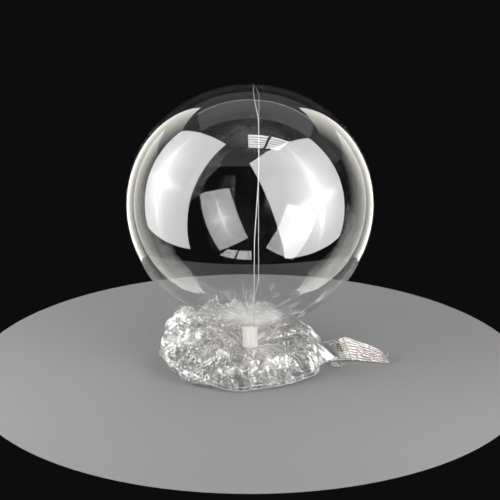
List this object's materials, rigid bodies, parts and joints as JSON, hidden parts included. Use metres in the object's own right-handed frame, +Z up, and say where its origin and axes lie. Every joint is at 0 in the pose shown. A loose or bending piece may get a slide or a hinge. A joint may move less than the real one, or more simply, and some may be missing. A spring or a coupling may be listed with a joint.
{
  "type": "clear bubble balloon",
  "caption": "Clear film balloon blown into a ball, pinched to a pleated neck, standing on the crumpled slack rest of its bag, with an inflation tail to one side.",
  "frame": {"origin": "on the floor under the middle of the ball, on the flat underside", "axes": "+Z up through the ball's middle, +X towards the inflation tail, -Y the front that shows the weld seam"},
  "size_m": [0.488, 0.4528, 0.5205],
  "materials": {
    "clear_film": "clear, high-gloss thin film, creased white along folds and welds",
    "valve_film": "milky, finely pleated film with a faint pink tint; the valve pocket is olive grey"
  },
  "bodies": {
    "root": {"bubble_film": "clear_film", "valve_strip": "valve_film"}
  },
  "joints": []
}
